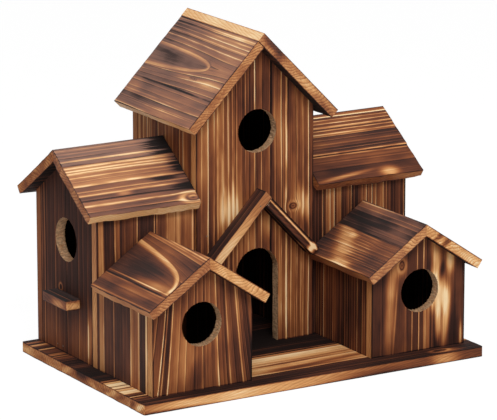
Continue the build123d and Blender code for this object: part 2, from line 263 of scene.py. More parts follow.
boards = {
    # Base
    "base_plank_front": Board(
        flat, 3, 0.13, 4.0, burn=0.15, line=0.3, end=0.66, edge=0.42, worn=(0.6, 0.6, 0.4, 0),
        stripes=[Stripe(0, 20, 3, 0.25, 16), Stripe(10, 14, 1.5, 0.2, 12)],
        spots=[Spot(180, 3, 40, 4, 0.16), Spot(240, 10, 60, 3, 0.12), Spot(308, 6, 14, 5, 0.4),
            Spot(20, 4, 26, 3, 0.2)],
        knots=[Knot(300, 9, 1.8, 2.6, 0.3)],
        edge_spots=[Spot(110, 5, 90, 14, 0.44), Spot(25, 5, 30, 4, 0.2), Spot(300, 5, 14, 12, 0.34, 0.4),
            Spot(230, 2, 40, 2, 0.14), Spot(20, 9, 40, 2, -0.3), Spot(230, 9, 60, 2, -0.2)],
        end_spots=[Spot(8, 4, 9, 3, 0.3, 0.5), Spot(22, 5, 6, 2.5, -0.2, 0.5)],
    ),
    "base_plank_second": Board(
        flat, 5, 0.74, 5.0, line=0.4, end=0.64, worn=(0.6, 0.6, 0, 0),
        stripes=stripes_at(6, (59.5, 0.8, -0.5), (51, 0.8, -0.45), (31, 7, -0.4), (40, 6, 0.1), reach=20)
        + [Stripe(6, 66, 11, 0.2, 16), Stripe(6, 56, 4, 0.3, 18)],
        spots=[Spot(190, 60, 50, 9, 0.16), Spot(170, 46, 40, 3.5, -0.25, 0.06),
            Spot(215, 36, 50, 3, -0.25, 0.05), Spot(165, 30, 30, 4, -0.34), Spot(240, 30, 20, 5, 0.14)],
        end_spots=[Spot(60, 6, 12, 2.5, 0.2, 0.4), Spot(38, 3, 10, 2.5, -0.16, 0.4),
            Spot(76, 3, 7, 2.5, -0.14, -0.5)],
    ),
    "base_plank_third": Board(
        flat, 8, 0.06, 4.5, burn=0.2, line=0.25, end=0.6, worn=(0.6, 0.6, 0, 0),
        lines=[Line(190, 76, 0.8, 0.5, 60)],
        stripes=stripes_at(6, (76, 3, 0.4), (142, 3, 0.2), reach=12)
        + [Stripe(6, 128, 6, 0.12, 16)],
        # The dark patch is painted shade inside the tower
        spots=[Spot(172, 140, 60, 30, -0.4)],
        end_spots=[Spot(110, 1, 16, 5, -0.3), Spot(92, 5, 10, 3, 0.24, -0.4),
            Spot(140, 5, 14, 3, 0.2, 0.3)],
    ),
    "base_plank_rear": Board(
        flat, 9, 0.2, 5.0, line=0.3, end=0.66, worn=(0.6, 0.6, 0, 0.4),
        stripes=stripes_at(6, (170, 5, 0.36), (163, 2, 0.3), (190, 3, 0.42), (203, 3.5, 0.45),
            (212, 3.5, 0.45), (180, 6, 0.06), reach=12),
        # The dark patch is painted shade inside the tower
        spots=[Spot(172, 180, 60, 40, -0.4)],
        end_spots=[Spot(210, 5, 14, 4, 0.1)],
    ),
    # Tower
    "tower_front_left_plank": Board(
        front, 11, 0.42, 6.5, wave=1.5, line=0.38, band=0.14, streak=0.62, edge=0.72, worn=(0, 0, 0, 0),
        opening="tower",
        lines=lines_at(150, (119, 0.6, 0.34), (146, 0.7, 0.36), (150, 0.6, 0.34), (154, 0.6, 0.36))
        + lines_at(130, (125.5, 0.5, 0.3), (135, 0.6, 0.34))
        + [Line(140, 140.5, 0.6, 0.36), Line(210, 163, 0.5, 0.34, 60), Line(220, 172, 0.6, 0.46, 60),
            Line(120, 179, 0.6, 0.36, 60), Line(60, 131, 0.5, 0.3, 60), Line(40, 126, 0.5, 0.26, 50)],
        stripes=stripes_at(225, (167.5, 8, -0.12), (176, 6, 0.08), reach=40)
        + [Stripe(150, 129, 5, -0.08)]
        + streaks(15, (138, 126), (142, 131), (146, 124), (150, 133), (154, 122)),
        spots=[Spot(124, 148, 13, 10, 0.22), Spot(104, 141, 22, 6, 0.12), Spot(165, 120, 40, 6, 0.1),
            Spot(108, 186, 14, 8, 0.26), Spot(205, 128, 24, 12, 0.12), Spot(50, 128, 56, 20, -0.32),
            Spot(205, 132, 30, 12, 0.08), Spot(165, 136, 40, 20, 0.04), Spot(160, 170, 24, 10, -0.06),
            Spot(228, 164, 24, 18, -0.16)],
    ),
    "tower_front_right_plank": Board(
        front, 12, 0.34, 6.5, wave=1.5, line=0.38, band=0.14, streak=0.62, edge=0.3, worn=(0, 0, 0, 0),
        opening="tower",
        lines=lines_at(150, (204, 0.7, 0.42), (215, 0.5, 0.36), (221.5, 0.5, 0.4), (227, 0.5, 0.36))
        + lines_at(60, (209, 0.6, 0.34), (219, 0.5, 0.3), (197, 0.5, 0.26), reach=60),
        stripes=[Stripe(180, 197, 10, 0.12, 70), Stripe(50, 200, 14, 0.12, 50),
            Stripe(30, 220, 14, 0.03, 60), Stripe(200, 218, 12, -0.05)]
        + streaks(13, (203, 124), (217, 128), (221, 122), (225, 116)),
        spots=[Spot(121, 219, 13, 10, 0.2), Spot(108, 194, 14, 7, 0.2), Spot(215, 208, 24, 7, -0.1),
            Spot(75, 206, 18, 5, -0.15), Spot(176, 212, 12, 4, -0.12), Spot(95, 225, 16, 7, -0.1),
            Spot(230, 196, 20, 14, -0.12)],
        knots=[Knot(120, 211, 3.0, 0.7, 0.12)],
    ),
    "tower_back": Board(back, 13, 0.42, 6.0),
    "tower_left_wall": Board(
        left, 14, 0.45, 6.0, wave=2.0, line=0.4, band=0.14,
        lines=lines_at(190, (208, 0.8, 0.4), (201, 0.7, 0.4), (190, 0.8, 0.3)),
        stripes=stripes_at(180, (213, 7, 0.16), (196, 7, 0.12), (128, 10, 0.08)),
        # The dark patch is painted shade just above the wing's roof, where it meets this wall
        spots=[Spot(190, 155, 30, 22, -0.12)],
    ),
    "tower_right_wall": Board(right, 15, 0.4, 6.0),
    "tower_floor": Board(flat, 16, 0.5, 6.0),
    "tower_roof_left_upper_plank": Board(
        tower_slope, 21, 0.37, 5.0, wave=2.0, burn=0.5, line=0.56, streak=0.6, gloss=0.3, veil=0.22,
        end=0.66, worn=(0.7, 0.7, 0, 0),
        arch=Arch(131, 47.6, 73, 16, 1.9, 0.3, -0.12, 0.027),
        lines=lines_at(150, (32, 0.8, 0.42), (25, 0.5, 0.3), (21, 0.4, 0.3), (17, 0.5, 0.3), (12, 0.4, 0.3),
            (8, 0.4, 0.3)),
        spots=[Spot(112, 62, 26, 4.5, 0.34), Spot(150, 62.5, 26, 2.0, 0.2), Spot(120, 12, 40, 14, 0.14),
            Spot(180, 72, 60, 5, -0.08), Spot(205, 28, 24, 12, -0.1), Spot(100, 45, 20, 12, 0.06)],
        knots=[Knot(137, 61.5, 0.7, 2.5, 0.0), Knot(141, 61.5, 0.7, 2.5, 0.0),
            Knot(145, 61.5, 0.7, 2.0, 0.0)],
    ),
    "tower_roof_left_lower_plank": Board(
        tower_slope, 22, 0.33, 6.0, wave=2.5, burn=0.5, line=0.46, streak=0.6, gloss=0.3, veil=0.2,
        end=0.66, edge=0.92, worn=(0.7, 0.7, 0, 1.2),
        lines=[Line(190, 90, 0.6, 0.3, 60), Line(150, 99, 0.6, 0.3, 60)],
        spots=[Spot(216, 86, 16, 9, 0.28), Spot(160, 84, 30, 4, 0.1), Spot(130, 100, 40, 5, 0.08)],
    ),
    "tower_roof_right": Board(
        tower_slope, 23, 0.4, 3.2, pith=(-30, 60), line=0.4, gloss=0.3, end=0.7, edge=0.95,
        worn=(0.7, 0.7, 0, 1.0),
        end_spots=[Spot(14, 2, 12, 3, -0.34), Spot(26, 5, 6, 6, -0.24), Spot(96, 7, 14, 3, -0.2),
            Spot(70, 4, 10, 4, 0.12)],
    ),
    # Porch
    "porch_strip_left": Board(
        strip, 31, 0.24, 5.0, burn=0.2, gloss=0.3, end=0.6, edge=0.76, worn=(0, 0, 0.7, 0),
        edge_spots=[Spot(62, 6, 22, 10, 0.2), Spot(12, 5, 16, 10, -0.16)],
    ),
    "porch_strip_right": Board(
        strip, 32, 0.24, 5.0, burn=0.2, gloss=0.15, end=0.86, edge=0.1,
        lines=[Line(30, 0, 0.9, 0.5)],
        spots=[Spot(64, 4, 5, 12, 0.5)],
        edge_spots=[Spot(40, 2.8, 60, 1.0, 0.8), Spot(71, 4, 4, 7, 0.9), Spot(30, 7, 60, 2.0, 0.2)],
    ),
    # Left wing
    "left_wing_front_wall": Board(
        front, 41, 0.24, 6.0, wave=0.8, line=0.2, band=0.04, gloss=0.2, edge=0.7,
        lines=lines_at(105, (34.5, 0.6, 0.5), (56.5, 0.5, 0.5))
        + lines_at(109, (75.5, 0.5, 0.5), (111, 0.8, 0.4))
        + [Line(108, 73, 0.4, 0.5)],
        stripes=stripes_at(100, (20.7, 4.4, 0.5), (37, 4, 0.26), (65, 15, -0.12), (80, 7, 0.12))
        + stripes_at(100, (91, 10, 0.44), (104, 13, 0.34), soft=3)
        + [Stripe(100, 50, 10, 0.1, 400, 4)],
    ),
    "left_wing_rear_wall": Board(back, 42, 0.36, 6.0, edge=0.5),
    "left_wing_gable_front_plank": Board(
        left, 43, 0.17, 7.0, wave=2.0, burn=0.1, line=0.2, band=0.06, streak=0.34, edge=0.6,
        worn=(0, 0, 0, 0), opening="left_wing",
        lines=[Line(60, 164.6, 0.5, 0.5, 60), Line(25, 128, 0.8, 0.5, 30)],
        spots=[Spot(25, 124, 24, 6, 0.34, -0.1), Spot(10, 145, 30, 20, 0.24), Spot(28, 118, 30, 3, 0.1)],
    ),
    "left_wing_gable_rear_plank": Board(
        left, 44, 0.17, 7.0, wave=2.0, burn=0.1, line=0.2, band=0.06, streak=0.34, worn=(0, 0, 0, 0),
        opening="left_wing",
        lines=[Line(60, 186, 0.4, 0.3, 60)],
        stripes=stripes_at(80, (212, 3, 0.3), (206, 1, 0.3)),
        spots=[Spot(10, 190, 30, 20, 0.22)],
        knots=[Knot(58, 177, 1.5, 1.1, 0.34)],
    ),
    "left_wing_roof_front_upper_plank": Board(
        wing_slope, 45, 0.46, 4.0, wave=2.0, line=0.44, streak=0.56, gloss=0.3, veil=0.34, end=0.56,
        worn=(1.0, 0.7, 0, 0),
        lines=lines_at(60, (15, 0.5, 0.4), (7, 0.4, 0.3), reach=60)
        + [Line(60, 3, 0.6, 0.35, 90)],
        stripes=[Stripe(60, 11, 6, -0.1, 60)],
        # The dark patch is painted shade in the corner against the tower
        spots=[Spot(118, 9, 26, 22, -0.9)],
    ),
    "left_wing_roof_front_lower_plank": Board(
        wing_slope, 46, 0.46, 6.5, wave=2.0, line=0.36, streak=0.56, gloss=0.3, veil=0.12, end=0.58,
        edge=0.91, worn=(1.0, 0.8, 0, 1.6),
        lines=lines_at(60, (20, 0.7, 0.4), (24, 0.9, 0.46), (27.5, 0.6, 0.4), (31, 0.8, 0.42),
            (35.5, 0.6, 0.36), (45, 1.0, 0.5), (56, 1.0, 0.5), (68, 0.9, 0.52)),
        stripes=stripes_at(40, (42, 4, 0.16), (53, 4, 0.14), reach=60)
        + stripes_at(60, (48.5, 5, -0.1), (60, 6, -0.12))
        + [Stripe(60, 72, 5, -0.12, 70), Stripe(30, 65, 4, 0.16, 70)],
        # The first two dark patches are painted shade in the corner against the tower
        spots=[Spot(118, 34, 14, 14, -0.7), Spot(116, 60, 18, 6, -0.5), Spot(92, 48, 14, 3, -0.4),
            Spot(48, 59, 8, 2.2, 0.4), Spot(30, 33, 30, 8, 0.1)],
        knots=[Knot(108, 74, 3.0, 1.8, 0.4)],
    ),
    "left_wing_roof_rear": Board(wing_slope, 47, 0.42, 6.0, end=0.58, worn=(1.0, 0.7, 0, 1.4)),
    "left_wing_perch": Board(
        shelf, 48, 0.04, 5.0, burn=0.2, gloss=0.3, end=0.86, edge=0.46,
        worn=(0.8, 0.8, 1.0, 0),
        edge_spots=[Spot(155, 6, 11, 4, 0.3), Spot(178, 4, 12, 5, -0.1)],
        end_spots=[Spot(9, 0, 20, 2.4, -0.3), Spot(9, 9, 20, 1.2, -0.16)],
    ),
    # Right wing
    "right_wing_front_wall": Board(
        front, 51, 0.3, 3.6, wave=1.0, line=0.6, band=0.24,
        stripes=stripes_at(110, (254, 12, 0.14), (240, 12, -0.12), (300, 14, 0.1), soft=3),
    ),
    "right_wing_rear_wall": Board(back, 52, 0.4, 6.0),
    "right_wing_gable_front_plank": Board(right, 53, 0.34, 6.0, opening="right_wing"),
    "right_wing_gable_rear_plank": Board(right, 54, 0.36, 6.0, opening="right_wing"),
    "right_wing_roof_front_upper_plank": Board(
        wing_slope, 55, 0.38, 3.6, wave=1.5, line=0.4, streak=0.3, gloss=0.2, end=0.5,
        worn=(0.7, 0.9, 0, 0),
        lines=lines_at(290, (4, 0.5, 0.46), (8, 0.5, 0.5), (12, 0.5, 0.46), (16, 0.5, 0.42), (20, 0.5, 0.5),
            (24, 0.6, 0.46), (36, 0.5, 0.3), (47, 0.8, 0.5)),
        stripes=stripes_at(290, (31, 8, -0.08), (41, 9, -0.1)),
        spots=[Spot(252, 30, 10, 20, 0.08), Spot(300, 38, 40, 8, 0.06)],
    ),
    "right_wing_roof_front_lower_plank": Board(
        wing_slope, 56, 0.24, 9.0, wave=3.0, line=0.12, streak=0.26, gloss=0.15, end=0.56, edge=0.42,
        worn=(0.7, 0.9, 0, 2.0),
        lines=[Line(290, 50, 0.6, 0.5), Line(300, 58, 0.5, 0.2, 60)],
        stripes=[Stripe(290, 53, 5, 0.12, 70)],
        spots=[Spot(308, 76, 10, 6, 0.46), Spot(262, 75, 30, 2.2, 0.42, -0.12), Spot(290, 83, 26, 1.6, 0.3),
            Spot(240, 66, 10, 5, 0.12), Spot(340, 64, 14, 8, 0.1), Spot(255, 64, 24, 5, -0.1)],
        edge_spots=[Spot(330, 4, 24, 5, 0.2), Spot(270, 3, 20, 3, 0.1)],
    ),
    "right_wing_roof_rear": Board(wing_slope, 57, 0.4, 6.0, end=0.56, worn=(0.7, 0.9, 0, 1.4)),
    "right_wing_perch": Board(shelf, 58, 0.26, 5.0, end=0.6, edge=0.5, worn=(0.8, 0.8, 0, 1.0)),
    # Left small house
    "left_house_front": Board(
        front, 61, 0.4, 7.5, wave=1.5, fan=(64, 0.0031), line=0.3, band=0.1, streak=0.4, edge=0.72,
        worn=(0, 0, 0, 0), opening="left_house",
        lines=lines_at(50, (21, 0.5, 0.36), (24, 0.5, 0.4), (30, 0.8, 0.42), (81, 0.5, 0.34),
            (93, 0.6, 0.36), (105, 0.7, 0.38))
        + lines_at(60, (59, 0.5, 0.2), (69, 0.4, 0.24), reach=60)
        + [Line(60, 111, 0.4, 0.3)],
        stripes=stripes_at(50, (27, 4, -0.14), (89, 5, -0.14), (100, 7, -0.08))
        + stripes_at(60, (114, 7, -0.2), (76, 8, 0.06))
        + [Stripe(40, 42, 20, 0.14, 60, 3)],
        spots=[Spot(26, 50, 22, 9, 0.14), Spot(80, 45, 14, 14, -0.14), Spot(14, 60, 14, 8, -0.16, 0.3),
            Spot(20, 74, 26, 5, -0.1)],
    ),
    "left_house_left_wall": Board(
        left, 62, 0.22, 5.0, wave=0.6, line=0.16, band=0.04, gloss=0.2,
        lines=lines_at(45, (82, 0.6, 0.5), (99.5, 0.5, 0.4), (53, 0.5, 0.36), (38.5, 0.5, 0.36),
            (20, 0.5, 0.5), (16.5, 0.5, 0.5), (66, 0.4, 0.14)),
        stripes=stripes_at(45, (103.5, 7, 0.42), (45.7, 14, 0.42), (24.5, 6, 0.56), (32.5, 9, -0.1),
            (92, 12, 0.04))
        + [Stripe(45, 45.7, 7, -0.2, 400, 2)],
    ),
    "left_house_right_wall": Board(right, 63, 0.3, 6.0),
    "left_house_roof_left_upper_plank": Board(
        left_slope, 64, 0.3, 9.0, wave=1.0, line=0.24, band=0.1, gloss=0.3, end=0.62, worn=(0.9, 0.5, 0, 0),
        arch=Arch(3.5, 43.5, 25, 25, 2.6, 0.4, -0.1, -0.1, 0.2),
        lines=lines_at(60, (1.5, 0.6, 0.5), (4.5, 0.7, 0.5), (7.5, 0.5, 0.3)),
        spots=[Spot(52, 48.3, 56, 0.7, 0.5), Spot(30, 45.5, 30, 4, 0.24), Spot(18, 42, 18, 9, 0.16),
            Spot(62, 34, 24, 9, -0.14), Spot(20, 14, 30, 5, -0.1)],
    ),
    "left_house_roof_left_lower_plank": Board(
        left_slope, 65, 0.36, 7.0, wave=1.0, line=0.2, band=0.1, gloss=0.3, end=0.62, edge=0.7,
        worn=(0.9, 0.5, 0, 1.0),
        lines=lines_at(60, (52.5, 0.5, 0.3), (68.5, 0.6, 0.3)),
        spots=[Spot(50, 60, 22, 5, 0.16), Spot(90, 64, 20, 6, -0.12), Spot(12, 62, 10, 8, -0.1)],
    ),
    "left_house_roof_right": Board(
        left_slope, 66, 0.42, 6.0, end=0.82, edge=0.68, worn=(0.9, 0.5, 0, 0.8),
        end_spots=[Spot(30, 5, 16, 3, 0.06), Spot(6, 4, 6, 5, -0.1)],
    ),
    # Right small house
    "right_house_front": Board(
        front, 71, 0.22, 9.0, wave=1.5, line=0.12, band=0.06, streak=0.26, edge=0.72, worn=(0, 0, 0, 0),
        opening="right_house",
        lines=lines_at(20, (277, 0.5, 0.5), (284, 0.6, 0.55), reach=40)
        + lines_at(90, (282, 0.5, 0.5), (288.5, 0.6, 0.6), reach=26)
        + [Line(20, 298, 0.5, 0.34, 30), Line(30, 270, 0.4, 0.2, 60)],
        stripes=[Stripe(20, 292, 6, 0.34, 34)],
        spots=[Spot(34, 254, 40, 5.5, 0.4, 0.06), Spot(62, 257, 14, 7, 0.18), Spot(78, 263, 10, 8, 0.34),
            Spot(30, 259.5, 34, 1.0, 0.3, 0.07), Spot(48, 304, 17, 10, 0.74),
            Spot(70, 301, 22, 5, 0.6, 0.16), Spot(92, 299, 14, 4, 0.4), Spot(22, 304, 16, 3.2, 0.64),
            Spot(28, 312, 28, 4.4, 0.66, 0.08), Spot(78, 316, 13, 5, 0.58), Spot(8, 328, 12, 1.6, 0.5),
            Spot(70, 308, 10, 3, -0.2, 0.3), Spot(14, 320, 26, 5, -0.1), Spot(60, 245, 50, 4, -0.08)],
        knots=[Knot(79, 266, 2.0, 1.6, 0.16)],
    ),
    "right_house_left_wall": Board(left, 72, 0.26, 3.5, wave=1.0, line=0.5, band=0.24),
    "right_house_right_wall": Board(right, 73, 0.38, 6.0),
    "right_house_roof_left_upper_plank": Board(
        right_slope, 74, 0.2, 4.0, wave=2.0, burn=0.6, line=0.26, gloss=0.3, veil=0.1, end=0.7,
        worn=(0.9, 0.5, 0, 0),
        lines=[Line(70, 1, 0.5, 0.5, 40)],
        spots=[Spot(30, 14, 20, 10, 0.08), Spot(75, 5, 24, 4, 0.16), Spot(90, 18, 14, 10, -0.1)],
    ),
    "right_house_roof_left_lower_plank": Board(
        right_slope, 75, 0.32, 3.0, wave=4.0, line=0.36, streak=0.4, gloss=0.4, end=0.66, edge=0.5,
        worn=(0.9, 0.5, 0, 1.2),
        lines=[Line(64 - v * 0.3, v, 0.45, 0.3, 16) for v in range(33, 68, 3)]
        + [Line(30, v, 0.3, 0.2, 26) for v in range(35, 70, 5)]
        + [Line(60, 70.5, 0.9, 0.4, 40)],
        spots=[Spot(90, 33, 12, 8, 0.34), Spot(80, 44, 13, 8, 0.36), Spot(70, 55, 13, 9, 0.4),
            Spot(58, 67, 14, 6, 0.44), Spot(75, 37, 7, 3, 0.36), Spot(28, 50, 14, 22, -0.08),
            Spot(106, 52, 12, 16, -0.12)],
        edge_spots=[Spot(70, 5, 20, 5, 0.14), Spot(20, 5, 14, 5, 0.1)],
    ),
    "right_house_roof_right": Board(
        right_slope, 76, 0.42, 6.0, end=0.82, edge=0.66, worn=(0.9, 0.5, 0, 0.8),
        end_spots=[Spot(18, 4, 2.5, 8, -0.34, 0.4), Spot(28, 4, 2.5, 8, -0.34, 0.4),
            Spot(60, 5, 20, 6, 0.1)],
    ),
}

openings = {
    "tower": (Opening(191.5, 174.4, 19.0), Opening(65.2, 174.4, 21.1, True)),
    "left_wing": (Opening(102.6, 166.0, 19.0),),
    "right_wing": (Opening(102.6, 166.0, 19.0),),
    "left_house": (Opening(57.1, 64.1, 19.0),),
    "right_house": (Opening(54.2, 284.6, 19.0),),
}

# Brads: the board that they are in, the way that it faces, and their places up and across in mm
BRADS = {
    "brads_tower_front": ("tower_front_left_plank", -Y, [(104, 124)]),
    "brads_porch": ("porch_strip_left", -Y, [(128, 169), (128, 177)]),
    "brads_left_gable": ("left_wing_gable_front_plank", -X, [(5, 184), (5, 174)]),
}
# Radius and height of each turn of a brad's profile, in mm
BRAD_PROFILE = [
    (0.12, 0.2), (0.4, 0.17), (0.62, 0.08), (0.7, -0.06), (0.55, -0.3), (0.35, -0.7), (0.3, -4.0),
]
BRAD_SIDES = 20
BRAD_METALLIC = 0.6


# Shader nodes, written as sums

class Wire:
    """A number or colour that runs along a link of a node tree."""

    def __init__(self, tree, socket):
        self.tree = tree
        self.socket = socket

    def math(self, operation, *others):
        made = self.tree.nodes.new("ShaderNodeMath")
        made.operation = operation
        for socket, value in zip(made.inputs, (self,) + others):
            feed(socket, value)
        return Wire(self.tree, made.outputs[0])

    def __add__(self, other):
        return self.math("ADD", other)

    def __sub__(self, other):
        return self.math("SUBTRACT", other)

    def __rsub__(self, other):
        return (self * -1) + other

    def __mul__(self, other):
        return self.math("MULTIPLY", other)

    def __truediv__(self, other):
        return self.math("DIVIDE", other)

    def absolute(self):
        return self.math("ABSOLUTE")

    def smaller(self, other):
        return self.math("MINIMUM", other)

    def larger(self, other):
        return self.math("MAXIMUM", other)

    def ramp(self, start, end, to_start=0.0, to_end=1.0):
        """Smooth step between two values, which may run up or down."""
        made = self.tree.nodes.new("ShaderNodeMapRange")
        made.interpolation_type = "SMOOTHSTEP"
        values = (self, start, end, to_start, to_end)
        if not isinstance(start, Wire) and start > end:
            values = (self, end, start, to_end, to_start)
        for socket, value in zip(made.inputs, values):
            feed(socket, value)
        return Wire(self.tree, made.outputs[0])

    def bell(self):
        """1 at zero, falling off like a bell on both sides."""
        return (self * self * -1).math("EXPONENT")

    def sawtooth(self, power):
        """Rises from 0 to 1 over each whole number, more steeply near its end."""
        return self.math("FRACT").math("POWER", power)


def feed(socket, value):
    """Link a wire to a socket, or set the socket's number or colour."""
    if isinstance(value, Wire):
        value.tree.links.new(value.socket, socket)
    else:
        socket.default_value = value


def diagonal(first, second):
    """Distance to a point that lies one wire along and one wire across."""
    return (first * first + second * second).math("SQRT")


def blend(first, second, share):
    """A number between two others."""
    return first + (second - first) * share


def noise(x, y, z, detail=2.0, roughness=0.5):
    """Noise between 0 and 1 at a place, whose first measure is a wire."""
    tree = x.tree
    place = tree.nodes.new("ShaderNodeCombineXYZ")
    for socket, value in zip(place.inputs, (x, y, z)):
        feed(socket, value)
    made = tree.nodes.new("ShaderNodeTexNoise")
    made.noise_dimensions = "3D"
    tree.links.new(place.outputs[0], made.inputs["Vector"])
    made.inputs["Scale"].default_value = 1.0
    made.inputs["Detail"].default_value = detail
    made.inputs["Roughness"].default_value = roughness
    return Wire(tree, made.outputs[0])


def swing(x, y, z, detail=2.0, roughness=0.5):
    """Noise that swings round zero, by up to a half."""
    return noise(x, y, z, detail, roughness) - 0.5


def chance(value):
    """A fixed random number between 0 and 1 for each value."""
    made = value.tree.nodes.new("ShaderNodeTexWhiteNoise")
    made.noise_dimensions = "1D"
    feed(made.inputs["W"], value)
    return Wire(value.tree, made.outputs["Value"])


def scaled(vector, amount):
    """A fixed direction or colour times a wire."""
    made = amount.tree.nodes.new("ShaderNodeVectorMath")
    made.operation = "SCALE"
    made.inputs[0].default_value = vector
    feed(made.inputs["Scale"], amount)
    return Wire(amount.tree, made.outputs[0])


def summed(first, second):
    """Sum of two directions that run along wires."""
    made = first.tree.nodes.new("ShaderNodeVectorMath")
    feed(made.inputs[0], first)
    feed(made.inputs[1], second)
    return Wire(first.tree, made.outputs[0])


def mix_colours(share, first, second):
    """A colour between two others. The share is a wire."""
    made = share.tree.nodes.new("ShaderNodeMix")
    made.data_type = "RGBA"
    for label, value in (("Factor", share), ("A", first), ("B", second)):
        feed(made.inputs[label], value)
    return Wire(share.tree, made.outputs["Result"])


def measure(tree, socket, direction, start=0.0):
    """Distance in mm along a direction, from a start."""
    made = tree.nodes.new("ShaderNodeVectorMath")
    made.operation = "DOT_PRODUCT"
    tree.links.new(socket, made.inputs[0])
    made.inputs[1].default_value = direction
    return Wire(tree, made.outputs["Value"]) * (1 / MM) - start


def empty_tree(owner):
    """The node tree of a material or world, without its first nodes."""
    owner.use_nodes = True
    owner.node_tree.nodes.clear()
    return owner.node_tree


def show(tree, kind, last):
    """Link the last node of a material or world to its output."""
    output = tree.nodes.new("ShaderNodeOutput" + kind)
    tree.links.new(last.outputs[0], output.inputs["Surface"])


def add_object(name, data):
    """Put a mesh, lamp or camera into the scene."""
    thing = bpy.data.objects.new(name, data)
    bpy.context.scene.collection.objects.link(thing)
    return thing


# What the tree and the torch do, each a function of wires that becomes a node group. A number
# beside a place in a noise is its scale per mm. The other numbers are strengths.

def growth_rings(along, across, depth, hill, flat_share, seed, spacing, pith_across, pith_depth, wave):
    """Growth rings round the pith, cut by the board's faces."""
    shift = seed * 7.31
    drift = swing(along * 0.007, across * 0.02 + shift, depth * 0.02, 1.0)
    shiver = swing(along * 0.03, across * 0.15 + shift, depth * 0.15)
    radius = diagonal(across - pith_across, depth - pith_depth)
    distance = radius + hill + drift * wave * 1.6 + shiver * wave * 0.22
    ring = distance / spacing
    uneven = noise(ring * 0.4 + shift, 0.0, 0.0, 1.0)
    count = ring + uneven * 1.4
    part = count.math("FRACT")
    index = count.math("FLOOR")
    strength = chance(index + seed * 3.7)
    shade = chance(index + seed * 5.3 + 0.5)
    fading = noise(along * 0.014, ring * 1.1 + shift, 0.0)
    late_wood = part.math("POWER", 9.0) * part.ramp(1.0, 0.95) * 1.5
    line = late_wood * (strength * 1.2 + 0.1) * fading.ramp(0.3, 0.6)
    ground = (part - 0.6) * 0.3 - part.ramp(0.12, 0.0) * 0.4
    line = (line + ground) * (1.0 - flat_share)
    streak = swing(along * 0.012, distance * 0.9 + shift, 0.0, 4.0, 0.74)
    fibre = swing(along * 0.09, across * 2.2 + shift, depth * 2.2, 2.0, 0.6)
    burn = swing(along * 0.012, across * 0.03 + shift * 1.7, depth * 0.02, 3.0)
    band = (shade - 0.5) * (1.0 - flat_share)
    return distance, line, band, streak, fibre, burn


def soft_patch(along, across, ragged, centre_along, centre_across, length, width, tone, turn):
    """A soft oval patch on a board, lighter or darker than the rest."""
    u = along - centre_along
    v = across - centre_across
    cosine = turn.math("COSINE")
    sine = turn.math("SINE")
    far = (u * cosine + v * sine) / length
    wide = (v * cosine - u * sine) / width
    reach = (diagonal(far, wide) + ragged).larger(0.0)
    return (reach.math("POWER", 1.5).bell() * tone,)


def bright_line(distance, along, ring, centre, width, tone, reach):
    """A single bright late-wood line that follows the rings."""
    off = ((distance - ring) / width).bell()
    far = (along - centre) / reach
    flicker = noise(along * 0.05, distance * 0.2, ring, 1.0).ramp(0.2, 0.6, 0.45, 1.0)
    return (off * (far * far).bell() * flicker * tone,)


def ring_band(distance, along, ring, centre, half, soft, tone, reach):
    """A band between two growth rings, with crisp borders."""
    off = (half + soft - (distance - ring).absolute()) / soft
    far = (along - centre) / reach
    return (off.larger(0.0).smaller(1.0) * (far * far).bell() * tone,)


def pointed_arch(along, across, tip_along, tip_across, length, width, thick, tone, inside, tilt, lower):
    """A pointed arch, where the board's face just cuts the side of a ring."""
    s = along - tip_along
    v = across - tip_across - tilt * s
    far = s.absolute() + length
    rise = s / far
    steep = diagonal(v * 2.0 / (width * width), length / (far * far))
    off = (v * v / (width * width) - rise) / steep
    gentle = (s + (s * s + 500.0).math("SQRT")) * 0.5
    half = (gentle / (gentle + length)).math("SQRT") * width
    beyond = (v.absolute() - half).larger(0.0)
    push = half * (beyond * -0.1).math("EXPONENT") * -0.7
    hill = push * (v * 0.8).larger(-1.0).smaller(1.0)
    outline = (off / thick).ramp(-2.6, -0.4) * (off / thick).ramp(0.5, 0.1)
    glow = (off.absolute() / (thick * 4.0)).bell() * 0.25
    side = v.ramp(0.0, 7.0) * (lower - 1.0) + 1.0
    flat_share = off.ramp(thick * 1.2, thick * 0.6)
    filling = off.ramp(0.5, -1.5) * off.ramp(0.0, -8.0) * inside
    return hill, flat_share, (outline + glow) * tone * side + filling


def knot_in_wood(along, across, centre_along, centre_across, radius, stretch, halo):
    """A knot that the rings flow round."""
    u = (along - centre_along) / (radius * stretch)
    v = (across - centre_across) / radius
    reach = diagonal(u, v)
    hill = (reach * 0.5).bell() * radius * v.larger(-1.0).smaller(1.0) * -1.5
    core = (reach * 2.6).bell() * -0.3
    ring = ((reach - 2.0) * 1.4).bell() * halo
    rim = ((reach - 1.1) * 3.4).bell() * -0.3
    return hill, core + ring + rim


Rings = namedtuple("Rings", "distance line band streak fibre burn")

# Name, function and results of each node group
GROUPS = {
    "rings": ("Growth rings", growth_rings, Rings._fields),
    "spot": ("Soft patch", soft_patch, ("tone",)),
    "line": ("Bright line", bright_line, ("tone",)),
    "stripe": ("Ring band", ring_band, ("tone",)),
    "arch": ("Arch", pointed_arch, ("hill", "flat_share", "tone")),
    "knot": ("Knot", knot_in_wood, ("hill", "tone")),
}
groups = {}


def make_group(name, build, results):
    """A node group with a number socket for each argument of a function of wires."""
    group = bpy.data.node_groups.new(name, "ShaderNodeTree")
    labels = list(inspect.signature(build).parameters)
    for way, sockets in (("INPUT", labels), ("OUTPUT", results)):
        for label in sockets:
            group.interface.new_socket(name=label, in_out=way, socket_type="NodeSocketFloat")
    source = group.nodes.new("NodeGroupInput")
    sink = group.nodes.new("NodeGroupOutput")
    wires = [Wire(group, source.outputs[label]) for label in labels]
    for label, wire in zip(results, build(*wires)):
        feed(sink.inputs[label], wire)
    return group


